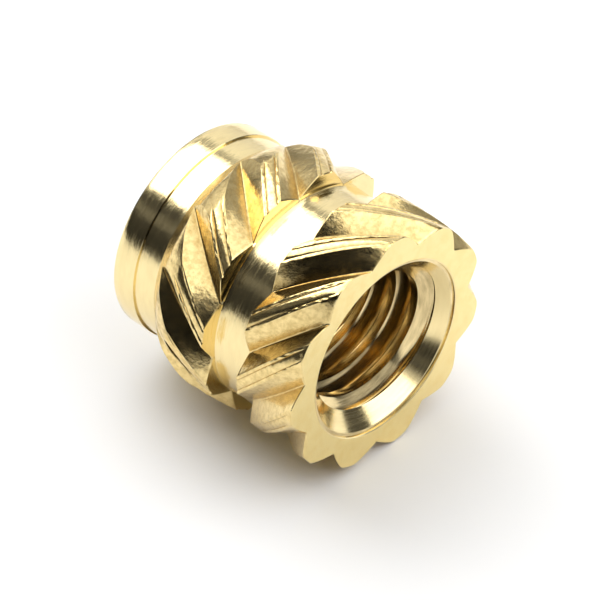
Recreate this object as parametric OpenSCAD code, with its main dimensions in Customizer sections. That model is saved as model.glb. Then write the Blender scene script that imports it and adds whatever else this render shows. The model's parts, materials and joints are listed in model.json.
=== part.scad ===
// Heat-set threaded insert, turned from one piece of brass.
// It stands on its pilot end at z = 0, with its axis on Z and its front face on top.
// Two toothed bands with opposed helices grip the plastic, and a plain neck between
// them takes the plastic that flows in and stops the insert from pulling out.

/* [Body] */
// Overall length of the insert
body_len = 4.5; // [4.2:0.05:8]

/* [Pilot] */
// Diameter of the ring at the pilot end
ring_d = 3.87; // [3.82:0.01:3.98]
// Length of the ring at the pilot end
ring_len = 0.48; // [0.2:0.02:0.8]
// Bevel on the end edge of the ring
ring_bevel = 0.06; // [0.02:0.01:0.15]
// Diameter of the plain pilot behind the ring
pilot_d = 3.8; // [3.6:0.02:3.86]
// Length of the plain pilot, from the ring to the rear band
pilot_len = 0.46; // [0.3:0.02:1]

/* [Toothed bands] */
// Diameter over the tooth lands
crest_d = 4.6; // [4.4:0.05:5.2]
// Diameter at the sharp bottom of the grooves
root_d = 4.02; // [4.02:0.02:4.2]
// Number of teeth on each band
teeth = 11; // [8:1:16]
// Width of the flat land on each tooth
land_w = 0.36; // [0.1:0.02:0.5]
// Length of the rear band, with its lead
rear_len = 1.48; // [1:0.02:2]
// Length of the steep part of the rear band's lead, next to the pilot
lead_len = 0.3; // [0.1:0.02:0.5]
// Diameter of the rear band where the steep part of its lead ends
lead_d = 4.34; // [4.1:0.02:4.6]
// Length of the slight taper from there up to the full tooth height
rear_taper_len = 0.36; // [0.1:0.02:0.5]
// Helix angle of the rear band at the groove bottom, right-handed
rear_helix = 40; // [20:1:50]
// Turn of a rear tooth, at the band's upper end, from the X axis
rear_turn = 4; // [0:1:40]
// Length of the front band
front_len = 1.27; // [0.8:0.01:2]
// Helix angle of the front band at the groove bottom, left-handed
front_helix = 44; // [20:1:50]

/* [Neck] */
// Diameter of the plain neck between the bands
neck_d = 4.0; // [3.6:0.05:4]

/* [Bore] */
// Diameter of the hole inside the thread crests
bore_d = 2.5; // [2:0.05:2.8]
// Diameter of the countersink at the front face
front_sink_d = 3.36; // [3:0.02:3.6]
// Diameter of the countersink at the pilot end
pilot_sink_d = 3.06; // [2.9:0.02:3.4]
// Angle of both countersinks, from wall to wall
sink_angle = 90; // [60:5:120]

/* [Hidden] */

// Brass, pale and bright
brass = [0.88, 0.76, 0.48];
// Sides of a round surface
$fn = 96;
// How far a cutting shape runs past the surface that it cuts
over = 0.1;
// Turn of a groove, in degrees, between two of its straight steps
step_turn = 3.5;
// How far a groove's section reaches, as a multiple of its depth
groove_reach = 1.2;

// Stations along the axis, from the pilot end up
pilot_z = ring_len;
rear_z = pilot_z + pilot_len;
rear_top_z = rear_z + rear_len;
front_z = body_len - front_len;

// Angles of one tooth and of the groove beside it, at the lands
tooth_pitch = 360 / teeth;
land_angle = land_w / (PI * crest_d) * 360;
groove_half = (tooth_pitch - land_angle) / 2;

// Turn for each millimetre along the axis, for a helix angle at the groove bottom
function turn_per_mm(helix) = tan(helix) / (PI * root_d) * 360;

// Outline of one half of the turned blank, from the axis outwards
module blank_outline() {
    polygon([
        [0, 0],
        [ring_d / 2 - ring_bevel, 0],
        [ring_d / 2, ring_bevel],
        [ring_d / 2, pilot_z],
        [pilot_d / 2, pilot_z],
        [pilot_d / 2, rear_z],
        [lead_d / 2, rear_z + lead_len],
        [crest_d / 2, rear_z + lead_len + rear_taper_len],
        [crest_d / 2, rear_top_z],
        [neck_d / 2, rear_top_z],
        [neck_d / 2, front_z],
        [crest_d / 2, front_z],
        [crest_d / 2, body_len],
        [0, body_len],
    ]);
}

// Section of one groove: a sharp V from the root out to the edges of two lands, closed well clear of them
module groove_section() {
    root = [root_d / 2, 0];
    land_edge = crest_d / 2 * [cos(groove_half), sin(groove_half)];
    reach = root + groove_reach * (land_edge - root);
    crown = [crest_d / 2 + groove_reach * (crest_d - root_d) / 2, 0];
    polygon([root, reach, crown, [reach[0], -reach[1]]]);
}

// A ring of helical grooves from z0 to z1, with one groove at angle_0 when it passes z_0
module helical_grooves(z0, z1, turn, z_0, angle_0) {
    from = z0 - over;
    to = z1 + over;
    twist = turn * (to - from);
    steps = ceil(abs(twist) / step_turn);
    for (i = [0 : teeth - 1])
        rotate([0, 0, angle_0 + turn * (from - z_0) + i * tooth_pitch])
            translate([0, 0, from])
                linear_extrude(height = to - from, twist = -twist, slices = steps, segments = 4)
                    groove_section();
}

// Conical mouth that opens from the bore to the diameter d at z = 0, upwards
module sink(d) {
    half_angle = sink_angle / 2;
    depth = (d - bore_d) / 2 / tan(half_angle);
    flare = over * tan(half_angle);
    translate([0, 0, -depth])
        cylinder(h = depth + over, d1 = bore_d, d2 = d + 2 * flare);
}

module insert_body() {
    color(brass)
        difference() {
            rotate_extrude() blank_outline();
            helical_grooves(front_z, body_len, -turn_per_mm(front_helix), body_len, 0);
            helical_grooves(rear_z, rear_top_z, turn_per_mm(rear_helix), rear_top_z,
                            rear_turn + tooth_pitch / 2);
            translate([0, 0, -over])
                cylinder(h = body_len + 2 * over, d = bore_d);
            translate([0, 0, body_len])
                sink(front_sink_d);
            mirror([0, 0, 1])
                sink(pilot_sink_d);
        }
}

insert_body();
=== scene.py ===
import json
import math

import bmesh
import bpy
import numpy as np
from mathutils import Matrix, Vector, noise


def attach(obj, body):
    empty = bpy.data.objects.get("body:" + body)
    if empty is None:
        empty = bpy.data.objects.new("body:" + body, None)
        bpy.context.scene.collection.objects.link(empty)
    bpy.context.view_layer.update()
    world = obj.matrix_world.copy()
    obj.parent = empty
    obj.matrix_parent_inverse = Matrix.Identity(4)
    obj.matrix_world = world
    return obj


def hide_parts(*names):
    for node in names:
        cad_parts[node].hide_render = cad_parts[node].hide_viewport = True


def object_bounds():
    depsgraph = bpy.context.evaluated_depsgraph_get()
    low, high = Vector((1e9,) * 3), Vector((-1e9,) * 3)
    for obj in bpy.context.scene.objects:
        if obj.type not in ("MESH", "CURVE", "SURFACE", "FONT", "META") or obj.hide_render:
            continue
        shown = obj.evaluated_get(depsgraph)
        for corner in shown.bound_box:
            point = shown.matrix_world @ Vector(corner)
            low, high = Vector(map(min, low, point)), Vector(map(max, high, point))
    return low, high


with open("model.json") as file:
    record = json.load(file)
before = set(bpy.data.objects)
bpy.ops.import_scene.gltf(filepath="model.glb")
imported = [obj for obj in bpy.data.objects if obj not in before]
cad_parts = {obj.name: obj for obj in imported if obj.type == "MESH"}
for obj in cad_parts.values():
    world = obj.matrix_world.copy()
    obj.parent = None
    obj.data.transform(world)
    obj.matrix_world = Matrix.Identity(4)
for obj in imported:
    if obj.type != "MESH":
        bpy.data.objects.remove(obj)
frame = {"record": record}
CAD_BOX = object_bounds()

# Sizes are in millimetres unless a comment says otherwise, and Blender's are in metres
MM = 0.001
UM = 0.000001

# Sizes that the frame gives
MOUNT_SIZES = {mount["name"]: mount["dims"] for mount in frame["record"]["mounts"]}
BODY_LEN = round(CAD_BOX[1][2] / MM, 3)
RING_R = MOUNT_SIZES["pilot"]["r_mm"]
THREAD_CREST_R = MOUNT_SIZES["thread"]["r_mm"]

# Sizes as in the part's source
RING_LEN = 0.48
RING_BEVEL = 0.06
PILOT_R = 1.9
PILOT_LEN = 0.46
CREST_R = 2.3
ROOT_R = 2.01
TEETH = 11
LAND_W = 0.36
REAR_LEN = 1.48
LEAD_LEN = 0.3
LEAD_R = 2.17
REAR_TAPER_LEN = 0.36
REAR_HELIX = math.radians(40)
REAR_TOOTH_ANGLE = math.radians(4)
FRONT_LEN = 1.27
FRONT_HELIX = math.radians(44)
NECK_R = 2.0
FRONT_SINK_R = 1.68
PILOT_SINK_R = 1.53

# Heights at which the bands start and end
REAR_Z = RING_LEN + PILOT_LEN
REAR_TOP_Z = REAR_Z + REAR_LEN
FRONT_Z = BODY_LEN - FRONT_LEN

# Angle from one tooth to the next, turn of the grooves in radians for each millimetre up,
# and angle of a groove at each band's upper end
PITCH_ANGLE = 2 * math.pi / TEETH
FRONT_TURN = -math.tan(FRONT_HELIX) / ROOT_R
FRONT_GROOVE = 0.0
REAR_TURN = math.tan(REAR_HELIX) / ROOT_R
REAR_GROOVE = REAR_TOOTH_ANGLE + PITCH_ANGLE / 2

# Grooves: the rounding at the bottom, the points on a flank as shares of it, and how far the flank bulges
ROOT_FILLET = 0.006
FLANK_POINTS = (0.03, 0.08, 0.2, 0.34, 0.48, 0.62, 0.76, 0.86)
FLANK_BULGE = 0.014

# Lands: the burr's height, the points across a land's edge as millimetres past it and drops in burr heights,
# the drop in the land's middle, and the front lands' turn from the middle between two grooves
BURR_HEIGHT = 0.026
LAND_EDGE = (
    (-0.029, 0.63), (-0.01, 0.45), (0.004, 0.12), (0.018, 0.0), (0.034, 0.06),
    (0.048, 0.6), (0.062, 1.1), (0.082, 0.85), (0.11, 0.6), (0.145, 0.5),
)
LAND_DROP = 0.5
LAND_SHIFT = math.radians(-1)

# Wear: its depth on the burrs, its units of noise to a millimetre, the drop in burr heights over which
# it lessens, its least share, and the power by which it fades down to the rear band's lead
WEAR = 0.03
WEAR_PER_MM = 11
WEAR_DROP = 0.6
LEAST_WEAR = 0.15
WEAR_FADE = 8

# Edge breaks at the ends of the bands, at the ring's step and on its bevel, as a share of the bevel,
# and the least step from the neck up to a band
EDGE_BREAK = 0.015
STEP_BREAK = 0.006
BEVEL_BREAK = 0.3
LEAST_STEP = 0.002

# Tooth ends at the front face: the rounding, how far down it reaches,
# and the slope at which a flank is carried on over its land to be rounded off
TIP_ROUNDING = 0.045
TIP_REACH = 0.25
LAND_CORNER_SLOPE = 0.8

# Rounding of the rear band's lead, and the radius that its upper end nears
LEAD_ROUNDING = 0.03
LEAD_END_R = CREST_R + LEAD_ROUNDING / 8

# Faint ridge round the neck: its height, its place above the rear band and its half width
NECK_RIDGE = 0.006
NECK_RIDGE_UP = 0.048
NECK_RIDGE_HALF = 0.012
NECK_RIDGE_Z = REAR_TOP_Z + NECK_RIDGE_UP

# Front countersink's mouth: the depth of its short wall, the depth at which the cone starts,
# and the cutter's points as millimetres outside the countersink's radius and below the face
MOUTH_STEP = 0.045
CONE_START = 0.051
MOUTH_EDGE = ((0.1, -0.05), (0.03, 0.0), (0.01, 0.012), (0.002, MOUTH_STEP), (-CONE_START, CONE_START))

# Countersink cutters: the radius at the inner end, inside the thread, and how far one runs past the pilot end
SINK_TIP_R = 1.1
SINK_OVER = 0.2

# Thread M3 x 0.5: a crest's height and angle, and half of the section, from the middle of a crest,
# as shares of the pitch and of the depth
THREAD_PITCH = 0.5
THREAD_ROOT_R = 1.49
THREAD_CREST_Z = 3.89
THREAD_CREST_ANGLE = math.radians(77)
THREAD_SECTION = (
    (0.0, 0.0), (0.13, 0.0), (0.16, 0.015), (0.19, 0.1), (0.33, 0.6), (0.43, 0.93), (0.47, 1.0), (0.5, 1.0),
)

# Thread's cutter: how far it runs past both ends, over what length it turns plain there,
# and its spare turns, below and in all
CORE_OVER = 0.4
CORE_FADE = 0.1
SPARE_BELOW = 2
SPARE_TURNS = 3

# Fineness: rows of points along each stretch, steps for finding a height on the lead,
# radii of the rings of points on the end faces, and sides of the cutters
FRONT_ROWS = 56
NECK_ROWS = 8
REAR_ROWS = 52
LEAD_ROWS = 15
PILOT_ROWS = 6
RING_ROWS = 5
LEAD_STEPS = 400
FRONT_FACE_RINGS = (0.6, 1.3, 1.78)
PILOT_FACE_RINGS = (1.6, 1.0)
THREAD_SIDES = 192
SINK_SIDES = 256

# Points closer than this are one, edges shorter than this are dropped, and edges sharper than this stay sharp
SAME_POINT = 0.00001
NO_LENGTH = 0.000001
SHARP_ANGLE = math.radians(27)

# Telling the finishes apart: how near an end face is to its plane and how level it is,
# how far outside the front countersink's radius the bore's surfaces go,
# how level a countersink's wall is and by what margin, and how level a tooth's surface may be
END_NEAR = 0.001
END_LEVEL = 0.99
BORE_MARGIN = 0.03
CONE_LEVEL = math.sqrt(0.5)
CONE_MARGIN = 0.01
TOOTH_LEVEL = 0.8

# Colours of the brass
CLEAN_BRASS = (0.925, 0.76, 0.4)
DULL_BRASS = (0.86, 0.69, 0.35)
PRESSED_BRASS = (0.88, 0.69, 0.32)
# The teeth's dark colour on the next line is partly a random stain and partly painted shade, laid deepest in
# the grooves and roots
PRESSED_STAIN_AND_SHADE = (0.57, 0.4, 0.15)
FACED_BRASS = (0.93, 0.76, 0.36)
FACED_STAIN = (0.88, 0.68, 0.28)
THREAD_BRASS = (0.86, 0.69, 0.37)
THREAD_STAIN = (0.46, 0.35, 0.17)

# Noise: its roughness, the stretch of its values that is spread out,
# and the stretch over which a stain clears, and on the teeth the painted shade with it
NOISE_ROUGHNESS = 0.6
NOISE_LOW = 0.3
NOISE_HIGH = 0.7
STAIN_AND_SHADE_LOW = 0.22
STAIN_AND_SHADE_HIGH = 0.6

# The photograph's directions: its up, and the level direction towards the camera's side
AXIS = Vector((0.0, 0.0, 1.0))
PHOTO_UP = Vector((-0.774, -0.633, 0.0)).normalized()
PHOTO_SIDE = AXIS.cross(PHOTO_UP)

# Floor: half its width, its gap under the teeth and its finish
FLOOR_REACH = 200
FLOOR_GAP = 0.003
FLOOR_WHITE = (0.95, 0.95, 0.95, 1)
FLOOR_ROUGHNESS = 0.9
FLOOR_SPECULAR = 0.2

# Light panels: the level by the place along the axis,
# and the corners as millimetres to the camera's side, towards the front and up
LAMP_BY_PLACE = ((-120, 4.0), (-42, 4.0), (-6, 1.4), (14, 1.4), (40, 2.4), (80, 2.4))
SOFTBOX_CORNERS = ((-37, -115, 75), (47, -101, 75), (8, 78, 34.5), (-70, 64, 34.5), (-44, 14, 46))
CARD_BY_PLACE = ((-120, 0.2), (80, 0.2))
CARD_CORNERS = ((-59, -73, 34), (-68, -73, 2.4), (-21, -98, 0.7), (-18, -98, 10))

# Room: the level by the angle in degrees round the axis, from the photograph's up to its camera side,
# and the share of it by the angle towards the front
ROOM_BY_ANGLE = (
    (-180, 0.85), (-90, 0.86), (-75, 0.93), (-55, 1.03), (-49, 1.0), (-46, 0.42), (-39, 0.42), (-36, 0.9),
    (28, 0.9), (31, 0.35), (36, 0.06), (47, 0.06), (51, 0.17), (57, 0.17), (62, 0.05), (82, 0.03), (88, 0.07),
    (92, 0.35), (100, 0.8), (180, 0.85),
)
ROOM_BY_FRONT = (
    (-90, 0.5), (-70, 1.0), (-55, 1.1), (-26, 1.0), (-18, 0.72), (-8, 0.55), (4, 0.42), (12, 0.3), (18, 0.09),
    (36, 0.06), (45, 0.3), (55, 0.6), (90, 0.6),
)

# Camera: its place, the directions of the picture's right and down, its lens and sensor,
# and the nearest and farthest that it sees
CAMERA_PLACE = Vector((-29.625, -126.489, 79.505))
CAMERA_RIGHT = Vector((-0.43462, 0.54036, 0.72050))
CAMERA_DOWN = Vector((0.87883, 0.07958, 0.47044))
CAMERA_LENS = 540
CAMERA_SENSOR = 36
CAMERA_NEAR = 1
CAMERA_FAR = 10000


def half_tooth(flank_angle):
    """Angle from a groove's bottom and radius, over one flank and up to the middle of the land."""
    land_half = LAND_W / 2 / CREST_R
    root = np.array([ROOT_R, 0.0])
    edge = CREST_R * np.array([math.cos(flank_angle), math.sin(flank_angle)])
    flank = edge - root
    outward = np.array([flank[1], -flank[0]]) / np.linalg.norm(flank)
    points = [(0.0, ROOT_R + ROOT_FILLET)]
    for t in FLANK_POINTS:
        p = root + t * flank + FLANK_BULGE * 4 * t * (1 - t) * outward
        points.append((math.atan2(p[1], p[0]), math.hypot(p[0], p[1])))
    for past, drop in LAND_EDGE:
        points.append((flank_angle + past / CREST_R, CREST_R - drop * BURR_HEIGHT))
    points.append((flank_angle + land_half, CREST_R - LAND_DROP * BURR_HEIGHT))
    return np.array(points)


def tooth_columns(land_shift):
    """Angle from the first groove's bottom and radius, for every column round a toothed band."""
    flank_angle = PITCH_ANGLE / 2 - LAND_W / 2 / CREST_R
    rise = half_tooth(flank_angle + land_shift)
    fall = half_tooth(flank_angle - land_shift)[-2:0:-1]
    fall[:, 0] = PITCH_ANGLE - fall[:, 0]
    one = np.vstack([rise, fall])
    angle = np.concatenate([one[:, 0] + k * PITCH_ANGLE for k in range(TEETH)])
    radius = np.tile(one[:, 1], TEETH)
    return angle, radius


def softer_least(a, b, rounding):
    """The lesser of two values, with a rounded change from one to the other."""
    return (a + b - np.sqrt((a - b) ** 2 + rounding ** 2)) / 2


def rounded_tips(column, radius):
    """Radius of the front teeth with the edges of their lands rounded, as they are at the front face."""
    inside = LAND_W / 2 - np.abs(column % PITCH_ANGLE - PITCH_ANGLE / 2 - LAND_SHIFT) * CREST_R
    flank = np.where(inside > 0, CREST_R + LAND_CORNER_SLOPE * inside, radius)
    return softer_least(CREST_R, flank, TIP_ROUNDING)


def lead_radius(z):
    """Radius of the rear band's lead at a height: steep next to the pilot, then slight, then full."""
    rise = np.asarray(z) - REAR_Z
    steep = PILOT_R + rise * (LEAD_R - PILOT_R) / LEAD_LEN
    slight = LEAD_R + (rise - LEAD_LEN) * (CREST_R - LEAD_R) / REAR_TAPER_LEN
    upper = softer_least(steep, slight, LEAD_ROUNDING)
    return softer_least(upper, LEAD_END_R, LEAD_ROUNDING)


def lead_height(radius):
    """Height at which the rear band's lead reaches a radius."""
    z = np.linspace(REAR_Z, REAR_TOP_Z, LEAD_STEPS)
    return np.interp(radius, lead_radius(z), z)


def roughened(angle, radius, z, depth):
    """The radius with a small uneven wear, deepest on the burrs."""
    burr = np.clip(1 - (CREST_R - radius) / (WEAR_DROP * BURR_HEIGHT), LEAST_WEAR, 1)
    worn = []
    for a, r, level, share in zip(angle, radius, z, burr):
        spot = Vector((r * math.cos(a), r * math.sin(a), level)) * WEAR_PER_MM
        worn.append(r - depth * share * (0.5 + 0.5 * noise.noise(spot)))
    return np.array(worn)


def front_angles(column, z):
    """Angles of the front band's columns at a height, where they turn with the grooves."""
    return column + FRONT_GROOVE + FRONT_TURN * (z - BODY_LEN)


def rear_angles(column, z):
    """Angles of the rear band's columns at a height, where they turn with the grooves."""
    return column + REAR_GROOVE + REAR_TURN * (z - REAR_TOP_Z)


def front_rows(column, radius):
    """Rows of the front face and the front band, down to the neck."""
    flat = np.ones_like(column)
    tip_r = rounded_tips(column, radius)
    top = BODY_LEN * flat
    rows = [(front_angles(column, top), r * flat, top) for r in FRONT_FACE_RINGS]
    rows.append((front_angles(column, top), tip_r - EDGE_BREAK, top))
    for z in np.linspace(BODY_LEN - EDGE_BREAK, FRONT_Z + EDGE_BREAK, FRONT_ROWS):
        level = z * flat
        angle = front_angles(column, level)
        tip_share = max(1 - (BODY_LEN - z) / TIP_REACH, 0) ** 2
        rounded = (1 - tip_share) * radius + tip_share * tip_r
        rows.append((angle, roughened(angle, rounded, level, WEAR), level))
    end = FRONT_Z * flat
    rows.append((front_angles(column, end), np.maximum(radius - EDGE_BREAK, NECK_R + LEAST_STEP), end))
    return rows


def neck_rows(upper_angle, lower_angle):
    """Rows of the neck and its ridge, with columns that run from the front band's to the rear band's."""
    flat = np.ones_like(upper_angle)
    outline = [(NECK_R, z) for z in np.linspace(FRONT_Z, NECK_RIDGE_Z + NECK_RIDGE_HALF, NECK_ROWS)]
    outline.append((NECK_R + NECK_RIDGE, NECK_RIDGE_Z))
    outline.append((NECK_R, NECK_RIDGE_Z - NECK_RIDGE_HALF))
    outline.append((NECK_R, REAR_TOP_Z))
    rows = []
    for r, z in outline:
        share = (z - FRONT_Z) / (REAR_TOP_Z - FRONT_Z)
        angle = (1 - share) * upper_angle + share * lower_angle
        rows.append((angle, r * flat, z * flat))
    return rows


def rear_rows(column, radius):
    """Rows of the rear band and its lead, from the neck down to the pilot."""
    flat = np.ones_like(column)
    end = REAR_TOP_Z * flat
    rows = [(rear_angles(column, end), np.maximum(radius - EDGE_BREAK, NECK_R + LEAST_STEP), end)]
    lead_top = lead_height(radius)
    for share in np.linspace(0, 1, REAR_ROWS):
        z = (1 - share) * (REAR_TOP_Z - EDGE_BREAK) + share * lead_top
        angle = rear_angles(column, z)
        wear = WEAR * (1 - share ** WEAR_FADE)
        rows.append((angle, roughened(angle, radius, z, wear), z))
    for share in np.linspace(0, 1, LEAD_ROWS)[1:]:
        z = (1 - share) * lead_top + share * REAR_Z
        lead_r = lead_radius(z) if share < 1 else PILOT_R * flat
        rows.append((rear_angles(column, z), lead_r, z))
    return rows


def lathe_rows(outline, angle):
    """Rows for a turned shape, from points of radius and height and the angles of its columns."""
    flat = np.ones_like(angle)
    return [(angle, r * flat, z * flat) for r, z in outline]


def pilot_rows(angle):
    """Rows of the plain pilot, its ring and its end face."""
    inset = BEVEL_BREAK * RING_BEVEL
    outline = [(PILOT_R, z) for z in np.linspace(REAR_Z, RING_LEN, PILOT_ROWS)[1:]]
    outline.append((RING_R - STEP_BREAK, RING_LEN))
    outline += [(RING_R, z) for z in np.linspace(RING_LEN - STEP_BREAK, RING_BEVEL, RING_ROWS)]
    outline.append((RING_R - inset, inset))
    outline += [(r, 0) for r in (RING_R - RING_BEVEL, *PILOT_FACE_RINGS)]
    return lathe_rows(outline, angle)


def skin_rows():
    """Rows of angle, radius and height over the outer surface, from the front face to the pilot end."""
    front_column, front_r = tooth_columns(LAND_SHIFT)
    rear_column, rear_r = tooth_columns(0)
    rows = front_rows(front_column, front_r)
    rows += neck_rows(front_angles(front_column, FRONT_Z), rear_angles(rear_column, REAR_TOP_Z))
    rows += rear_rows(rear_column, rear_r)
    rows += pilot_rows(rear_angles(rear_column, REAR_Z))
    return rows


def mesh_from_rows(name, rows):
    """A closed mesh through rows of equal length, each joined round, with a flat cap at both ends."""
    sides = len(rows[0][0])
    points = np.concatenate([
        np.stack([r * np.cos(a), r * np.sin(a), z], axis=1) for a, r, z in rows
    ])
    faces = [list(range(sides)), list(range(len(rows) * sides - 1, (len(rows) - 1) * sides - 1, -1))]
    for i in range(len(rows) - 1):
        for j in range(sides):
            k = (j + 1) % sides
            faces.append([i * sides + k, i * sides + j, (i + 1) * sides + j, (i + 1) * sides + k])
    mesh = bpy.data.meshes.new(name)
    mesh.from_pydata((points * MM).tolist(), [], faces)
    mesh.validate()
    return mesh


def thread_section():
    """Share of a pitch and radius through one turn of the thread, from the middle of a crest."""
    deep = THREAD_ROOT_R - THREAD_CREST_R
    back = [(1 - t, d) for t, d in THREAD_SECTION[-2:0:-1]]
    return [(t, THREAD_CREST_R + d * deep) for t, d in (*THREAD_SECTION, *back)]


def thread_mesh(name, low, high):
    """The thread's hollow from low to high, as a screw-shaped core with plain, open ends."""
    section = thread_section()
    per_turn = len(section)
    plain_r = (THREAD_CREST_R + THREAD_ROOT_R) / 2
    turns = math.ceil((high - low) / THREAD_PITCH) + SPARE_TURNS
    turns_below = math.ceil((THREAD_CREST_Z - low) / THREAD_PITCH + SPARE_BELOW)
    first = THREAD_CREST_Z - turns_below * THREAD_PITCH
    count = turns * per_turn
    points = []
    index = {}

    def vertex(i, j):
        """Number of the vertex on row i, column j, where rows follow the thread round."""
        if j == THREAD_SIDES:
            return vertex(i + per_turn, 0)
        i = min(max(i, 0), count + per_turn)
        if (i, j) not in index:
            share, r = section[i % per_turn]
            z = first + (i // per_turn + share + j / THREAD_SIDES) * THREAD_PITCH
            inside = min(z - low, high - z) / CORE_FADE
            r = plain_r + (r - plain_r) * min(max(inside, 0), 1)
            z = min(max(z, low), high)
            a = THREAD_CREST_ANGLE + 2 * math.pi * j / THREAD_SIDES
            index[(i, j)] = len(points)
            points.append((r * math.cos(a) * MM, r * math.sin(a) * MM, z * MM))
        return index[(i, j)]

    faces = []
    for i in range(count):
        for j in range(THREAD_SIDES):
            faces.append([vertex(i, j), vertex(i, j + 1), vertex(i + 1, j + 1), vertex(i + 1, j)])
    mesh = bpy.data.meshes.new(name)
    mesh.from_pydata(points, [], faces)
    return mesh


def close_ends(mesh):
    """Joins points that coincide, drops faces with no area and caps the open ends."""
    work = bmesh.new()
    work.from_mesh(mesh)
    bmesh.ops.remove_doubles(work, verts=work.verts, dist=SAME_POINT * MM)
    bmesh.ops.dissolve_degenerate(work, edges=work.edges, dist=NO_LENGTH * MM)
    open_edges = [e for e in work.edges if e.is_boundary]
    bmesh.ops.holes_fill(work, edges=open_edges, sides=0)
    bmesh.ops.recalc_face_normals(work, faces=work.faces)
    work.to_mesh(mesh)
    work.free()


def sink_mesh(name, outline):
    """A countersink's cutter, turned from points of radius and height."""
    angle = np.linspace(0, 2 * math.pi, SINK_SIDES, endpoint=False)
    return mesh_from_rows(name, lathe_rows(outline, angle))


def front_sink_outline():
    """Outline of the front countersink's cutter, with the short wall at its mouth."""
    outline = [(FRONT_SINK_R + outside, BODY_LEN - below) for outside, below in MOUTH_EDGE]
    outline.append((SINK_TIP_R, BODY_LEN - (FRONT_SINK_R - SINK_TIP_R)))
    return outline


def pilot_sink_outline():
    """Outline of the cutter for the countersink at the pilot end."""
    return [
        (SINK_TIP_R, PILOT_SINK_R - SINK_TIP_R),
        (PILOT_SINK_R, 0),
        (PILOT_SINK_R + SINK_OVER, -SINK_OVER),
    ]


def put(name, mesh):
    """A new object for a mesh, put in the scene."""
    piece = bpy.data.objects.new(name, mesh)
    bpy.context.scene.collection.objects.link(piece)
    return piece


def cut(piece, cutters):
    """Takes the cutters out of the piece, and deletes them."""
    for cutter in cutters:
        change = piece.modifiers.new("cut", "BOOLEAN")
        change.object = cutter
        change.operation = "DIFFERENCE"
        change.solver = "EXACT"
    bpy.context.view_layer.update()
    graph = bpy.context.evaluated_depsgraph_get()
    made = bpy.data.meshes.new_from_object(piece.evaluated_get(graph))
    piece.modifiers.clear()
    piece.data = made
    for cutter in cutters:
        bpy.data.objects.remove(cutter)


def make_insert():
    """The whole insert as one closed piece, with its teeth, thread and countersinks."""
    piece = put("insert_visual", mesh_from_rows("insert_visual", skin_rows()))
    core = thread_mesh("thread_core", -CORE_OVER, BODY_LEN + CORE_OVER)
    close_ends(core)
    mouth = sink_mesh("front_sink", front_sink_outline())
    tail = sink_mesh("pilot_sink", pilot_sink_outline())
    cut(piece, [put("thread_core", core), put("front_sink", mouth), put("pilot_sink", tail)])
    piece.data.shade_smooth()
    piece.data.set_sharp_from_angle(angle=SHARP_ANGLE)
    return piece


def add_node(tree, kind, values=None, **settings):
    """A new node with its settings and the values of its inputs."""
    node = tree.nodes.new(kind)
    for key, value in settings.items():
        setattr(node, key, value)
    for key, value in (values or {}).items():
        node.inputs[key].default_value = value
    return node


def even_place(tree, per_mm):
    """Place in the piece's own frame, with so many units to a millimetre."""
    where = add_node(tree, "ShaderNodeTexCoord")
    scale = add_node(tree, "ShaderNodeVectorMath", {1: [per_mm / MM] * 3}, operation="MULTIPLY")
    tree.links.new(where.outputs["Object"], scale.inputs[0])
    return scale.outputs[0]


def turned_place(tree, around, across):
    """Place on a turned surface, in units to a millimetre around the axis and across the tool marks."""
    where = add_node(tree, "ShaderNodeTexCoord")
    flat = add_node(tree, "ShaderNodeVectorMath", {1: (1, 1, 0)}, operation="MULTIPLY")
    radius = add_node(tree, "ShaderNodeVectorMath", operation="LENGTH")
    split = add_node(tree, "ShaderNodeSeparateXYZ")
    along = add_node(tree, "ShaderNodeMath", operation="ADD")
    join = add_node(tree, "ShaderNodeCombineXYZ")
    stretch = (around / MM, around / MM, across / MM)
    scale = add_node(tree, "ShaderNodeVectorMath", {1: stretch}, operation="MULTIPLY")
    tree.links.new(where.outputs["Object"], flat.inputs[0])
    tree.links.new(flat.outputs[0], radius.inputs[0])
    tree.links.new(where.outputs["Object"], split.inputs[0])
    tree.links.new(radius.outputs["Value"], along.inputs[0])
    tree.links.new(split.outputs["Z"], along.inputs[1])
    tree.links.new(split.outputs["X"], join.inputs[0])
    tree.links.new(split.outputs["Y"], join.inputs[1])
    tree.links.new(along.outputs[0], join.inputs[2])
    tree.links.new(join.outputs[0], scale.inputs[0])
    return scale.outputs[0]


def noise_at(tree, place, detail):
    """A noise value at a place."""
    values = {"Scale": 1, "Detail": detail, "Roughness": NOISE_ROUGHNESS}
    node = add_node(tree, "ShaderNodeTexNoise", values)
    tree.links.new(place, node.inputs["Vector"])
    return node.outputs["Fac"]


def spread(tree, value, at_low, at_high):
    """A noise value spread from one level where it is low to another where it is high."""
    stretch = {"From Min": NOISE_LOW, "From Max": NOISE_HIGH, "To Min": at_low, "To Max": at_high}
    node = add_node(tree, "ShaderNodeMapRange", stretch)
    tree.links.new(value, node.inputs["Value"])
    return node.outputs["Result"]


def colour_between(tree, value, stain_and_shade, clean):
    """The colour of a stain where the value is low, and the clean one where it is high; on the teeth the low
    colour is also painted shade.
    """
    ramp = add_node(tree, "ShaderNodeValToRGB")
    ramp.color_ramp.elements[0].position = STAIN_AND_SHADE_LOW
    ramp.color_ramp.elements[0].color = (*stain_and_shade, 1)
    ramp.color_ramp.elements[1].position = STAIN_AND_SHADE_HIGH
    ramp.color_ramp.elements[1].color = (*clean, 1)
    tree.links.new(value, ramp.inputs[0])
    return ramp.outputs["Color"]


def painted_shade_in_hollows(tree, value, reach_mm):
    """The value, lowered where other brass stands close over the surface: a colour picked by it paints shade
    into the hollows.
    """
    reach = {"Distance": reach_mm * MM}
    open_share = add_node(tree, "ShaderNodeAmbientOcclusion", reach, samples=8, only_local=True)
    lowered = add_node(tree, "ShaderNodeMath", operation="MULTIPLY")
    tree.links.new(open_share.outputs["AO"], lowered.inputs[0])
    tree.links.new(value, lowered.inputs[1])
    return lowered.outputs[0]


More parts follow.
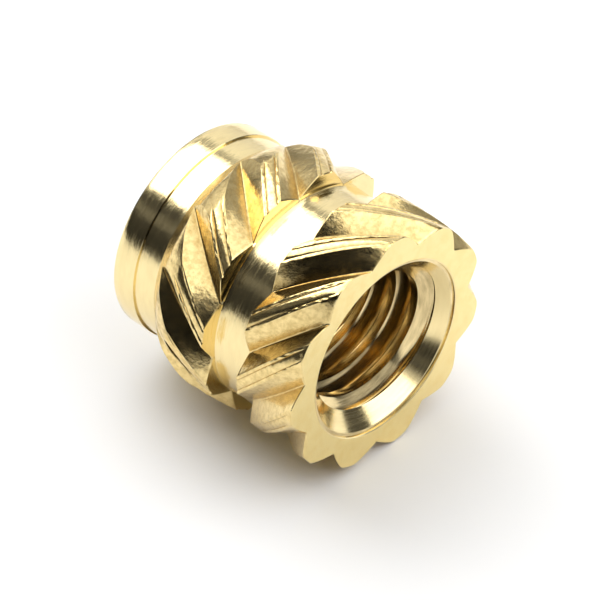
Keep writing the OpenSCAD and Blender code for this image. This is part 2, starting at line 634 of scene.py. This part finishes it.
def bump(tree, height, depth_um, under=None):
    """Normal of a surface with marks of a depth in micrometres, over another normal."""
    node = add_node(tree, "ShaderNodeBump", {"Strength": 1, "Distance": depth_um * UM})
    tree.links.new(height, node.inputs["Height"])
    if under:
        tree.links.new(under, node.inputs["Normal"])
    return node.outputs["Normal"]


def new_brass(name):
    """A metal with nothing linked yet: the material, its node tree and its shader."""
    material = bpy.data.materials.new(name)
    material.use_nodes = True
    shader = material.node_tree.nodes["Principled BSDF"]
    shader.inputs["Metallic"].default_value = 1
    return material, material.node_tree, shader


def finish_brass(tree, shader, colour, roughness, normal):
    """Links a brass's colour, roughness and normal to its shader."""
    tree.links.new(colour, shader.inputs["Base Color"])
    tree.links.new(roughness, shader.inputs["Roughness"])
    tree.links.new(normal, shader.inputs["Normal"])


def turned_brass():
    """Plain bands, with fine tool marks that run round."""
    material, tree, shader = new_brass("brass_turned")
    marks = noise_at(tree, turned_place(tree, around=4, across=32), detail=3)
    streaks = noise_at(tree, turned_place(tree, around=0.8, across=30), detail=2)
    chatter = noise_at(tree, even_place(tree, per_mm=2.5), detail=2)
    stain = noise_at(tree, turned_place(tree, around=3, across=9), detail=4)
    finish_brass(
        tree, shader,
        colour=colour_between(tree, stain, DULL_BRASS, CLEAN_BRASS),
        roughness=spread(tree, streaks, at_low=0.04, at_high=0.2),
        normal=bump(tree, marks, depth_um=3.4, under=bump(tree, chatter, depth_um=5)),
    )
    return material


def pressed_brass():
    """Teeth, with the uneven grain that the rolls leave, a random stain, and painted shade deepest in the
    grooves.
    """
    material, tree, shader = new_brass("brass_pressed")
    grain = noise_at(tree, even_place(tree, per_mm=26), detail=1)
    dents = noise_at(tree, even_place(tree, per_mm=4), detail=2)
    stain = noise_at(tree, even_place(tree, per_mm=10), detail=5)
    finish_brass(
        tree, shader,
        # Painted shade: the dark colour is laid deeper where other brass stands close, in the grooves and
        # roots, on top of the random stain
        colour=colour_between(tree, painted_shade_in_hollows(tree, stain, reach_mm=0.3), PRESSED_STAIN_AND_SHADE, PRESSED_BRASS),
        roughness=spread(tree, stain, at_low=0.27, at_high=0.14),
        normal=bump(tree, grain, depth_um=1.5, under=bump(tree, dents, depth_um=7)),
    )
    return material


def faced_brass():
    """End faces, nearly even."""
    material, tree, shader = new_brass("brass_faced")
    marks = noise_at(tree, turned_place(tree, around=2.5, across=30), detail=3)
    grain = noise_at(tree, even_place(tree, per_mm=24), detail=3)
    stain = noise_at(tree, even_place(tree, per_mm=5), detail=4)
    finish_brass(
        tree, shader,
        colour=colour_between(tree, stain, FACED_STAIN, FACED_BRASS),
        roughness=spread(tree, grain, at_low=0.16, at_high=0.27),
        normal=bump(tree, marks, depth_um=1.2, under=bump(tree, grain, depth_um=1.8)),
    )
    return material


def sunk_brass():
    """Countersinks, with marks that run round."""
    material, tree, shader = new_brass("brass_sunk")
    marks = noise_at(tree, turned_place(tree, around=0.6, across=26), detail=2)
    stain = noise_at(tree, turned_place(tree, around=2, across=8), detail=4)
    finish_brass(
        tree, shader,
        colour=colour_between(tree, stain, DULL_BRASS, CLEAN_BRASS),
        roughness=spread(tree, marks, at_low=0.12, at_high=0.22),
        normal=bump(tree, marks, depth_um=0.6),
    )
    return material


def threaded_brass():
    """Thread, darker than the rest, with the tap's marks."""
    material, tree, shader = new_brass("brass_threaded")
    marks = noise_at(tree, turned_place(tree, around=0.6, across=22), detail=2)
    stain = noise_at(tree, turned_place(tree, around=2, across=8), detail=4)
    finish_brass(
        tree, shader,
        colour=colour_between(tree, stain, THREAD_STAIN, THREAD_BRASS),
        roughness=spread(tree, marks, at_low=0.1, at_high=0.18),
        normal=bump(tree, marks, depth_um=0.8),
    )
    return material


def finish_of(face):
    """Name of the finish on one face of the insert, from its place and how level it is."""
    middle = face.center / MM
    radius = math.hypot(middle.x, middle.y)
    level = abs(face.normal.z)
    if min(middle.z, BODY_LEN - middle.z) < END_NEAR and level > END_LEVEL:
        return "faced"
    if radius < FRONT_SINK_R + BORE_MARGIN:
        on_cone = abs(level - CONE_LEVEL) < CONE_MARGIN
        return "sunk" if on_cone or BODY_LEN - middle.z < MOUTH_STEP else "threaded"
    on_band = middle.z > FRONT_Z or REAR_Z < middle.z < REAR_TOP_Z
    return "pressed" if on_band and level < TOOTH_LEVEL else "turned"


def dress(piece):
    """Gives each surface of the insert the brass that its tool left."""
    makers = {
        "turned": turned_brass,
        "pressed": pressed_brass,
        "faced": faced_brass,
        "sunk": sunk_brass,
        "threaded": threaded_brass,
    }
    finishes = list(makers)
    mesh = piece.data
    mesh.materials.clear()
    for make in makers.values():
        mesh.materials.append(make())
    for face in mesh.polygons:
        face.material_index = finishes.index(finish_of(face))


def floor_material():
    """A matt white that is clear when seen from behind."""
    material = bpy.data.materials.new("floor_white")
    material.use_nodes = True
    tree = material.node_tree
    shader = tree.nodes["Principled BSDF"]
    shader.inputs["Base Color"].default_value = FLOOR_WHITE
    shader.inputs["Roughness"].default_value = FLOOR_ROUGHNESS
    shader.inputs["Specular IOR Level"].default_value = FLOOR_SPECULAR
    side = add_node(tree, "ShaderNodeNewGeometry")
    clear = add_node(tree, "ShaderNodeBsdfTransparent")
    pick = add_node(tree, "ShaderNodeMixShader")
    tree.links.new(side.outputs["Backfacing"], pick.inputs[0])
    tree.links.new(shader.outputs[0], pick.inputs[1])
    tree.links.new(clear.outputs[0], pick.inputs[2])
    tree.links.new(pick.outputs[0], tree.nodes["Material Output"].inputs["Surface"])
    return material


def add_floor():
    """The photograph's pale floor, which the insert lies on."""
    middle = -PHOTO_UP * (CREST_R + FLOOR_GAP) * MM
    corners = [
        middle + FLOOR_REACH * MM * (a * PHOTO_SIDE + b * AXIS)
        for a, b in ((-1, -1), (-1, 1), (1, 1), (1, -1))
    ]
    mesh = bpy.data.meshes.new("floor")
    mesh.from_pydata([tuple(c) for c in corners], [], [[0, 1, 2, 3]])
    floor = put("floor", mesh)
    if mesh.polygons[0].normal.dot(PHOTO_UP) < 0:
        mesh.flip_normals()
    mesh.materials.append(floor_material())


def ramp_of(tree, value, stops):
    """A colour ramp of grey levels through stops of position and level."""
    ramp = add_node(tree, "ShaderNodeValToRGB")
    elements = ramp.color_ramp.elements
    elements[0].position = stops[0][0]
    elements[1].position = stops[-1][0]
    for position, _ in stops[1:-1]:
        elements.new(position)
    for element, (_, level) in zip(elements, stops):
        element.color = (level, level, level, 1)
    tree.links.new(value, ramp.inputs[0])
    return ramp.outputs["Color"]


def glow_material(name, levels):
    """A light whose level changes along the insert's axis."""
    material = bpy.data.materials.new(name)
    material.use_nodes = True
    tree = material.node_tree
    back, front = levels[0][0], levels[-1][0]
    where = add_node(tree, "ShaderNodeTexCoord")
    split = add_node(tree, "ShaderNodeSeparateXYZ")
    share = add_node(tree, "ShaderNodeMapRange", {"From Min": back * MM, "From Max": front * MM})
    glow = add_node(tree, "ShaderNodeEmission")
    tree.links.new(where.outputs["Object"], split.inputs[0])
    tree.links.new(split.outputs["Z"], share.inputs["Value"])
    stops = [((place - back) / (front - back), level) for place, level in levels]
    tree.links.new(ramp_of(tree, share.outputs["Result"], stops), glow.inputs["Color"])
    tree.links.new(glow.outputs[0], tree.nodes["Material Output"].inputs["Surface"])
    return material


def add_panel(name, corners, levels):
    """A glowing panel, seen only in the brass and by its light."""
    points = [(side * PHOTO_SIDE + along * AXIS + up * PHOTO_UP) * MM for side, along, up in corners]
    mesh = bpy.data.meshes.new(name)
    mesh.from_pydata([tuple(point) for point in points], [], [list(range(len(points)))])
    mesh.materials.append(glow_material(name + "_glow", levels))
    panel = put(name, mesh)
    panel.visible_camera = False


def add_world():
    """A pale room round the insert, dark on the camera's side and dim to the front. The camera sees white."""
    world = bpy.data.worlds.new("studio")
    bpy.context.scene.world = world
    world.use_nodes = True
    tree = world.node_tree
    where = add_node(tree, "ShaderNodeTexCoord")

    def along(direction):
        """Share of the view's direction that runs along another."""
        node = add_node(tree, "ShaderNodeVectorMath", {1: direction}, operation="DOT_PRODUCT")
        tree.links.new(where.outputs["Generated"], node.inputs[0])
        return node.outputs["Value"]

    angle = add_node(tree, "ShaderNodeMath", operation="ARCTAN2")
    tree.links.new(along(PHOTO_SIDE), angle.inputs[0])
    tree.links.new(along(PHOTO_UP), angle.inputs[1])
    round_share = add_node(tree, "ShaderNodeMapRange", {"From Min": -math.pi, "From Max": math.pi})
    tree.links.new(angle.outputs[0], round_share.inputs["Value"])
    front_share = add_node(tree, "ShaderNodeMapRange", {"From Min": -1, "From Max": 1})
    tree.links.new(along(AXIS), front_share.inputs["Value"])
    by_angle = ramp_of(tree, round_share.outputs[0], [
        ((degrees + 180) / 360, level) for degrees, level in ROOM_BY_ANGLE
    ])
    by_front = ramp_of(tree, front_share.outputs[0], [
        ((math.sin(math.radians(degrees)) + 1) / 2, level) for degrees, level in ROOM_BY_FRONT
    ])
    room = add_node(tree, "ShaderNodeMix", {"Factor": 1}, data_type="RGBA", blend_type="MULTIPLY")
    tree.links.new(by_angle, room.inputs["A"])
    tree.links.new(by_front, room.inputs["B"])
    path = add_node(tree, "ShaderNodeLightPath")
    pick = add_node(tree, "ShaderNodeMix", {"B": (1, 1, 1, 1)}, data_type="RGBA")
    tree.links.new(path.outputs["Is Camera Ray"], pick.inputs["Factor"])
    tree.links.new(room.outputs["Result"], pick.inputs["A"])
    tree.links.new(pick.outputs["Result"], tree.nodes["Background"].inputs["Color"])


def add_camera():
    """The photograph's camera."""
    data = bpy.data.cameras.new("camera")
    data.lens = CAMERA_LENS
    data.sensor_width = CAMERA_SENSOR
    data.clip_start = CAMERA_NEAR * MM
    data.clip_end = CAMERA_FAR * MM
    camera = bpy.data.objects.new("camera", data)
    bpy.context.scene.collection.objects.link(camera)
    forward = CAMERA_RIGHT.cross(CAMERA_DOWN)
    turn = Matrix((CAMERA_RIGHT, -CAMERA_DOWN, -forward)).transposed()
    camera.matrix_world = Matrix.Translation(CAMERA_PLACE * MM) @ turn.to_4x4()
    bpy.context.scene.camera = camera


insert = make_insert()
dress(insert)
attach(insert, "root")
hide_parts("insert_body")
add_floor()
add_panel("softbox", SOFTBOX_CORNERS, LAMP_BY_PLACE)
add_panel("grey_card", CARD_CORNERS, CARD_BY_PLACE)
add_world()
add_camera()
bpy.context.scene.view_settings.view_transform = "Standard"
